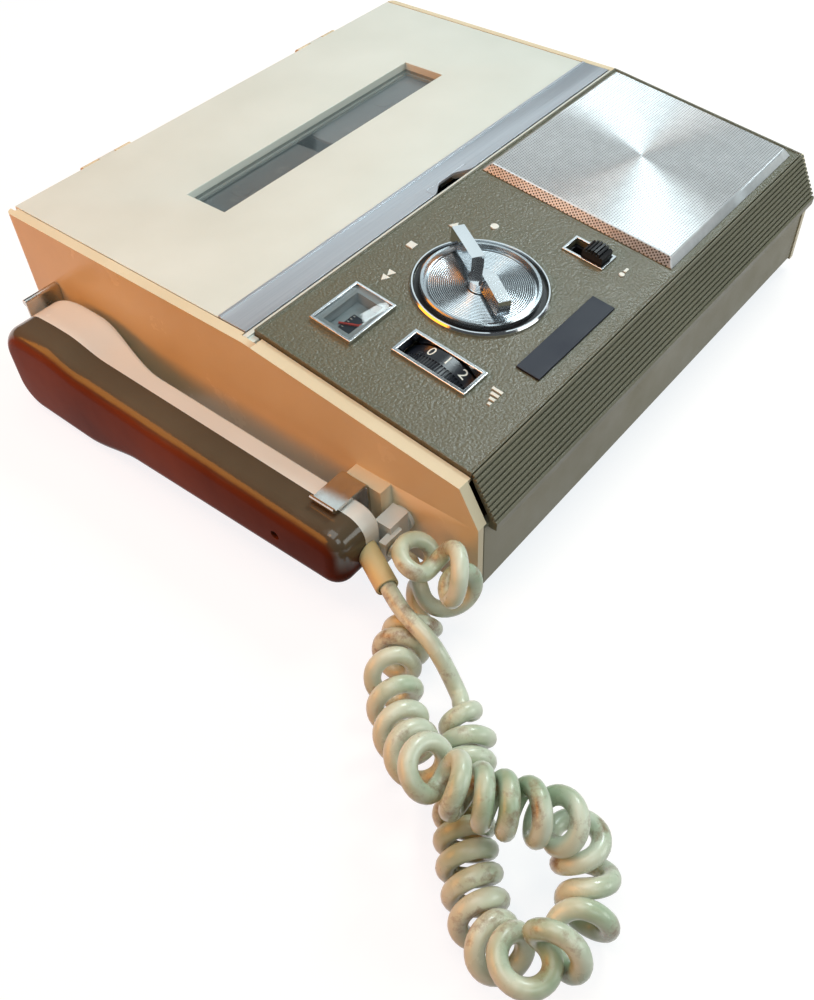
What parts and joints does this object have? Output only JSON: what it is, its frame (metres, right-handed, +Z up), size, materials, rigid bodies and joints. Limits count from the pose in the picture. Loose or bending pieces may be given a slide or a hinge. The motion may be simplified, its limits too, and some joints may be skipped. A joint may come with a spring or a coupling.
{
  "type": "reel-to-reel tape recorder",
  "caption": "Portable open-reel tape recorder with a hinged lid, sloped control panel, perforated speaker grille, rotary selector and a clip-on handset on a curly cord.",
  "frame": {"origin": "centre of the bounding box without the cord, on the plane of the feet", "axes": "+X to the user's right along the front, +Y to the back, +Z up"},
  "size_m": [0.3148, 0.3126, 0.068],
  "materials": {
    "case_cream": "satin moulded, slightly aged",
    "lid_cream": "satin moulded",
    "panel_olive": "pebble-grained",
    "front_olive": "plain matt",
    "trim_olive": "ribbed",
    "grille_metal": "perforated, spun-brushed",
    "chrome_trim": "bright",
    "lid_strip": "satin",
    "badge_dark": "gloss enamel, bare",
    "black_plastic": "moulded",
    "clear_cover": "clear",
    "window_tint": "smoked clear",
    "needle_red": "painted",
    "steel_parts": "satin",
    "deck_metal": "matt",
    "reel_plastic": "translucent",
    "tape_brown": "coated film",
    "brass_drive": "turned",
    "rubber_black": "matt",
    "speaker_dark": "paper cone and steel basket",
    "board_brown": "resin board",
    "motor_can": "plated",
    "cell_jacket": "plain jacket",
    "handset_brown": "high gloss",
    "handset_cream": "gloss",
    "cord_ivory": "aged, glossy",
    "relief_cream": "aged"
  },
  "bodies": {
    "case": {"bottom_case": "case_cream", "front_panel": "front_olive", "control_panel": "panel_olive", "rib_trim": "trim_olive", "cross_rail": "case_cream", "badge_plate": "badge_dark", "speaker_grille": "grille_metal", "speaker": "speaker_dark", "meter_case": "badge_dark", "meter_frame": "chrome_trim", "meter_lens": "clear_cover", "volume_frame": "chrome_trim", "volume_pot": "steel_parts", "switch_frame": "chrome_trim", "switch_body": "black_plastic", "selector_ring": "chrome_trim", "selector_switch": "board_brown", "hinge_pins": "steel_parts", "deck_plate": "deck_metal", "tape_strip": "tape_brown", "tape_guides": "steel_parts", "tape_heads": "steel_parts", "motor": "motor_can", "drive_belt": "rubber_black", "circuit_board": "board_brown", "battery_cells": "cell_jacket", "feet": "rubber_black", "case_screws": "steel_parts", "front_clip": "steel_parts", "back_clip": "steel_parts", "cord_plug": "handset_cream"},
    "lid": {"lid_shell": "lid_cream", "lid_trim": "lid_strip", "lid_window": "window_tint"},
    "selector": {"selector_dish": "chrome_trim", "selector_knob": "chrome_trim"},
    "volume": {"volume_wheel": "black_plastic"},
    "slider": {"switch_slider": "black_plastic"},
    "needle": {"meter_needle": "needle_red"},
    "supply": {"supply_spindle": "reel_plastic", "supply_reel": "reel_plastic", "supply_tape": "tape_brown"},
    "takeup": {"takeup_spindle": "reel_plastic", "takeup_reel": "reel_plastic", "takeup_tape": "tape_brown"},
    "drive": {"capstan": "steel_parts", "flywheel": "brass_drive"},
    "rotor": {"motor_pulley": "brass_drive"},
    "pinch": {"pinch_arm": "steel_parts"},
    "roller": {"pinch_roller": "rubber_black"},
    "battery_flap": {"battery_door": "case_cream"},
    "handset": {"handset_shell": "handset_brown", "handset_inner": "handset_cream", "ear_cap": "handset_cream", "mic_cap": "handset_cream", "capsules": "steel_parts", "handset_screw": "steel_parts", "strain_relief": "relief_cream", "curly_cord": "cord_ivory"}
  },
  "joints": [
    {"name": "lid_hinge", "type": "hinge", "parent": "case", "child": "lid", "pos_m": [0, 0.1105, 0.0566], "axis": [-1, 0, 0], "range_deg": [0, 95]},
    {"name": "selector_turn", "type": "hinge", "parent": "case", "child": "selector", "pos_m": [-0.02475, -0.05781, 0.05652], "axis": [0, -0.1246, 0.9922], "range_deg": [-33, 66]},
    {"name": "volume_turn", "type": "hinge", "parent": "case", "child": "volume", "pos_m": [-0.06155, -0.06703, 0.03763], "axis": [-1, 0, 0], "range_deg": [0, 270]},
    {"name": "switch_slide", "type": "slide", "parent": "case", "child": "slider", "axis": [0, 0.9922, 0.1246], "range_m": [0, 0.0058]},
    {"name": "needle_swing", "type": "hinge", "parent": "case", "child": "needle", "pos_m": [-0.06325, -0.03861, 0.05611], "axis": [0, 0.1246, -0.9922], "range_deg": [0, 60]},
    {"name": "takeup_spin", "type": "hinge", "parent": "case", "child": "takeup", "pos_m": [0.05625, 0.05364, 0.05], "axis": [0, 0, 1], "continuous": true},
    {"name": "supply_spin", "type": "hinge", "parent": "case", "child": "supply", "pos_m": [-0.02775, 0.05364, 0.05], "axis": [0, 0, 1], "continuous": true},
    {"name": "capstan_spin", "type": "hinge", "parent": "case", "child": "drive", "pos_m": [0.04025, 0.00555, 0.035], "axis": [0, 0, 1], "continuous": true},
    {"name": "motor_spin", "type": "hinge", "parent": "case", "child": "rotor", "pos_m": [-0.00775, 0.0137, 0.03], "axis": [0, 0, 1], "continuous": true},
    {"name": "pinch_swing", "type": "hinge", "parent": "case", "child": "pinch", "pos_m": [0.05625, -0.0031, 0.044], "axis": [0, 0, 1], "range_deg": [-3.4, 6.7]},
    {"name": "roller_spin", "type": "hinge", "parent": "pinch", "child": "roller", "pos_m": [0.04025, -0.0031, 0.049], "axis": [0, 0, 1], "continuous": true},
    {"name": "battery_flap_hinge", "type": "hinge", "parent": "case", "child": "battery_flap", "pos_m": [0.05975, 0.1064, 0.0116], "axis": [-1, 0, 0], "range_deg": [0, 90]},
    {"name": "handset_lift", "type": "slide", "parent": "case", "child": "handset", "axis": [-1, 0, 0], "range_m": [0, 0.08]}
  ],
  "couplings": [
    {"joint": "supply_spin", "follows": "takeup_spin", "ratio": 0.6875},
    {"joint": "motor_spin", "follows": "capstan_spin", "ratio": 5.2174},
    {"joint": "roller_spin", "follows": "capstan_spin", "ratio": -0.25},
    {"joint": "pinch_swing", "follows": "selector_turn", "ratio": 0.1}
  ]
}
